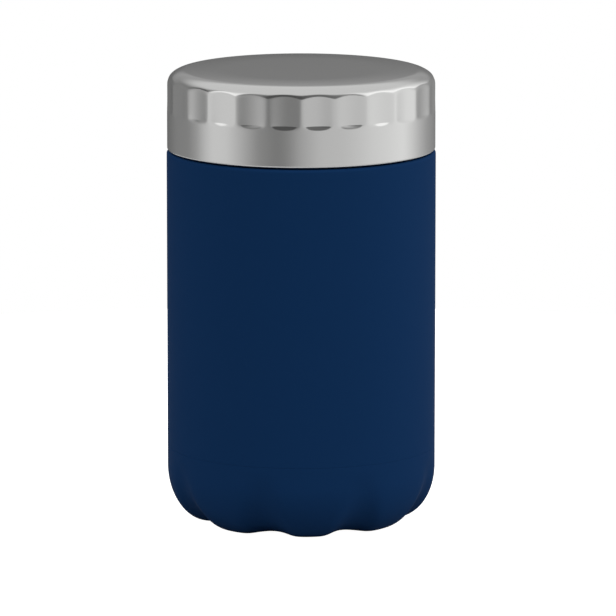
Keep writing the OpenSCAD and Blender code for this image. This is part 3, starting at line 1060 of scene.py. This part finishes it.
@dataclass
class Studio:
    """Floor, light tent, lamps, world and camera.

    The tent is a sphere that shines. Round the jar its brightness goes by the direction, in degrees
    from the front towards +X: low_levels near the horizon and below, and high_levels above that.
    Above the horizon the low levels are never darker than behind. The zenith and the nadir have one
    brightness each. One part passes into the next over a pair of heights, from -1 to 1. The pair
    falls by lean times the direction's Y: on both sides of the jar for high_over, and towards +Y
    for zenith_over. A lamp is a name, a direction and its watts. Lengths are metres and angles degrees.
    """

    tent_r: float = 6.0
    floor_r: float = 0.45
    floor_drop: float = 0.0002
    floor_colour: str = "#C4C4C4"
    front: float = -4.76
    low_levels: Levels = (
        (-180, 0.16), (-163, 0.17), (-152, 0.22), (-134, 0.31), (-113, 0.34), (-101, 0.48), (-91, 0.74),
        (-82, 0.9), (-67, 0.88), (-52, 0.64), (-37, 0.38), (-21, 0.29), (-15, 0.31), (-8, 0.4), (-1, 0.54),
        (16, 0.74), (37, 0.78), (51, 0.86), (63, 0.95), (79, 1.02), (98, 1.12), (109, 0.94), (122, 0.68),
        (137, 0.46), (150, 0.36))
    high_levels: Levels = (
        (-180, 0.44), (-152, 0.34), (-136, 0.3), (-118, 0.3), (-108, 0.1), (-97, 0.15), (-86, 1.4),
        (-62, 1.4), (-52, 0.5), (-42, 0.2), (-32, 0.11), (4, 0.12), (16, 0.2), (44, 0.24), (57, 1.2),
        (70, 1.5), (113, 1.5), (126, 1.3), (142, 0.85), (156, 0.42))
    behind: float = 0.16
    zenith: float = 0.88
    nadir: float = 0.5
    lean: float = 0.25
    horizon_over: tuple[float, float] = (-0.05, 0.05)
    high_over: tuple[float, float] = (0.4, 0.49)
    zenith_over: tuple[float, float] = (0.6, 0.84)
    nadir_over: tuple[float, float] = (-0.7, -0.42)
    lamp_list: tuple[tuple[str, float, float], ...] = (("left_lamp", -60.0, 30.0), ("right_lamp", 58.0, 43.0))
    lamp_size: float = 1.6
    lamp_away: float = 2.2
    lamp_height: float = 1.9
    lamp_aim: float = 0.08
    world_light: float = 0.5
    lens: float = 370.3
    camera_away: float = 2.3273
    camera_right: float = 0.002513
    camera_height: float = 0.4946
    camera_tilt: float = 79.89

    def build(self) -> None:
        """Build everything that isn't part of the jar."""
        self.tent()
        self.floor()
        self.lamps()
        self.world()
        self.camera()

    def ramp(self, tree: Tree, turn: Socket, levels: Levels) -> Socket:
        """Add a ramp that gives a brightness for each direction.

        Args:
            tree: the tent's node tree.
            turn: 0 to 1 once round, with the seam at -X.
            levels: pairs of direction in degrees from the front towards +X, and brightness.

        Returns:
            The brightness.
        """
        places = sorted(((a + self.front + 90) % 360 / 360, v) for a, v in levels)
        (first, low), (last, high) = places[0], places[-1]
        seam = low + (high - low) * first / (first + 1 - last)
        node = add_node(tree, "ShaderNodeValToRGB", {"Fac": turn})
        stops = [(0.0, seam), *places, (1.0, seam)]
        elements = node.color_ramp.elements
        while len(elements) < len(stops):
            elements.new(0.5)
        # All places come before the colours, because the elements are kept in order of place.
        for element, (place, _) in zip(elements, stops):
            element.position = place
        for element, (_, value) in zip(elements, stops):
            element.color = (value, value, value, 1)
        return node.outputs["Color"]

    def blend(self, tree: Tree, value: Socket, over: tuple[float, float],
              below: Socket | float, above: Socket | float) -> Socket:
        """Add a soft change from one brightness to another.

        Args:
            tree: the tent's node tree.
            value: what the change goes by.
            over: the values at which it starts and stops.
            below: the brightness before it.
            above: the brightness after it.

        Returns:
            The brightness.
        """
        share = add_node(tree, "ShaderNodeMapRange", {
            "Value": value, "From Min": over[0], "From Max": over[1],
        }, interpolation_type="SMOOTHSTEP")
        return add_node(tree, "ShaderNodeMix", {
            "Factor": share.outputs["Result"], "A": below, "B": above,
        }, data_type="FLOAT").outputs["Result"]

    def tent(self) -> None:
        """Build the tent: a sphere that the camera doesn't see and every other ray does."""
        shape = Shape("light_tent")
        a = np.radians(np.linspace(-90, 90, 33))
        shape.turn(np.stack([np.cos(a), np.sin(a)], 1) * self.tent_r / MM, 64, loop=False)
        faces = np.vstack(shape.quads).tolist() + np.vstack(shape.triangles).tolist()
        mesh = bpy.data.meshes.new("light_tent")
        mesh.from_pydata((np.vstack(shape.vertices) * MM).tolist(), [], [face[::-1] for face in faces])
        material = bpy.data.materials.new("light_tent")
        tree = clear_tree(material)
        place = add_node(tree, "ShaderNodeTexCoord").outputs["Object"]
        turn = add_node(tree, "ShaderNodeTexGradient", {"Vector": place},
                        gradient_type="RADIAL").outputs["Fac"]
        unit = add_node(tree, "ShaderNodeVectorMath", {0: place}, operation="NORMALIZE")
        parts = add_node(tree, "ShaderNodeSeparateXYZ", {"Vector": unit.outputs["Vector"]})
        ahead, rise = parts.outputs["Y"], parts.outputs["Z"]
        low = self.ramp(tree, turn, self.low_levels)
        high = self.ramp(tree, turn, self.high_levels)
        middle = add_node(tree, "ShaderNodeMath", {0: low, 1: self.behind}, operation="MAXIMUM")
        wall = self.blend(tree, rise, self.horizon_over, low, middle.outputs["Value"])
        across = add_node(tree, "ShaderNodeMath", {0: ahead}, operation="ABSOLUTE")
        early = add_node(tree, "ShaderNodeMath", {0: across.outputs["Value"], 1: self.lean, 2: rise},
                         operation="MULTIPLY_ADD")
        leant = add_node(tree, "ShaderNodeMath", {0: ahead, 1: self.lean, 2: rise}, operation="MULTIPLY_ADD")
        wall = self.blend(tree, early.outputs["Value"], self.high_over, wall, high)
        upper = self.blend(tree, leant.outputs["Value"], self.zenith_over, wall, self.zenith)
        whole = self.blend(tree, rise, self.nadir_over, self.nadir, upper)
        glow = add_node(tree, "ShaderNodeEmission", {"Color": (1, 1, 1, 1), "Strength": whole})
        add_node(tree, "ShaderNodeOutputMaterial", {"Surface": glow.outputs["Emission"]})
        mesh.materials.append(material)
        obj = add_object("light_tent", mesh)
        obj.visible_camera = False
        obj.visible_shadow = False

    def floor(self) -> None:
        """Build a pale disc that looks white and keeps the jar's soft shadow."""
        a = circle(96)
        points = np.stack([np.cos(a) * self.floor_r, np.sin(a) * self.floor_r,
                           np.full_like(a, -self.floor_drop)], 1)
        mesh = bpy.data.meshes.new("floor")
        mesh.from_pydata(points.tolist(), [], [list(range(len(a)))])
        material = bpy.data.materials.new("floor")
        tree = clear_tree(material)
        matt = add_node(tree, "ShaderNodeBsdfDiffuse", {"Color": linear(self.floor_colour)})
        seen = add_node(tree, "ShaderNodeLightPath").outputs["Is Camera Ray"]
        glow = add_node(tree, "ShaderNodeEmission", {"Color": (1, 1, 1, 1), "Strength": seen})
        total = add_node(tree, "ShaderNodeAddShader", {0: matt.outputs["BSDF"], 1: glow.outputs["Emission"]})
        add_node(tree, "ShaderNodeOutputMaterial", {"Surface": total.outputs["Shader"]})
        mesh.materials.append(material)
        add_object("floor", mesh)

    def lamps(self) -> None:
        """Add two large soft lamps, above the front on either side."""
        for name, turn, power in self.lamp_list:
            data = bpy.data.lights.new(name, "AREA")
            data.shape = "DISK"
            data.size = self.lamp_size
            data.energy = power
            obj = add_object(name, data)
            a = math.radians(self.front + turn)
            spot = np.array([math.sin(a) * self.lamp_away, -math.cos(a) * self.lamp_away, self.lamp_height])
            aim = look(np.array([0, 0, self.lamp_aim]) - spot)
            obj.matrix_world = Matrix.Translation(spot) @ aim.to_4x4()
            obj.visible_glossy = False

    def world(self) -> None:
        """Make the world white to the camera, in reflections and through glass, and grey as a light."""
        world = bpy.data.worlds.new("studio")
        bpy.context.scene.world = world
        tree = clear_tree(world)
        path = add_node(tree, "ShaderNodeLightPath").outputs
        either = add_node(tree, "ShaderNodeMath", {0: path["Is Camera Ray"], 1: path["Is Glossy Ray"]},
                          operation="MAXIMUM")
        seen = add_node(tree, "ShaderNodeMath", {0: either.outputs["Value"], 1: path["Is Transmission Ray"]},
                        operation="MAXIMUM")
        level = add_node(tree, "ShaderNodeMapRange", {
            "Value": seen.outputs["Value"], "To Min": self.world_light, "To Max": 1.0,
        })
        glow = add_node(tree, "ShaderNodeBackground", {
            "Color": (1, 1, 1, 1), "Strength": level.outputs["Result"],
        })
        add_node(tree, "ShaderNodeOutputWorld", {"Surface": glow.outputs["Background"]})

    def camera(self) -> None:
        """Place the camera and set the plain view transform."""
        data = bpy.data.cameras.new("camera")
        data.lens, data.sensor_width = self.lens, 36.0
        data.clip_start, data.clip_end = 0.1, 30.0
        obj = add_object("camera", data)
        a = math.radians(self.front)
        obj.location = (self.camera_away * math.sin(a) + self.camera_right * math.cos(a),
                        self.camera_right * math.sin(a) - self.camera_away * math.cos(a), self.camera_height)
        obj.rotation_euler = (math.radians(self.camera_tilt), 0.0, a)
        bpy.context.scene.camera = obj
        bpy.context.scene.view_settings.view_transform = "Standard"


def look(direction: np.ndarray) -> Matrix:
    """Turn that points an object's -Z axis along a direction, with its Y axis up."""
    return Vector(direction).to_track_quat("-Z", "Y").to_matrix()


def main() -> None:
    """Build the jar, its lid, its hidden parts and the studio."""
    logging.basicConfig(level=logging.INFO, format="%(message)s")
    paints = Paints()
    for part in (Body(), Neck(), Liner(), Cover(), LidCap(), LidInsert(), Plug(), Gasket()):
        part.build(paints)
    finish_kept(paints)
    Studio().build()
    bpy.context.view_layer.update()


if __name__ == "__main__":
    main()
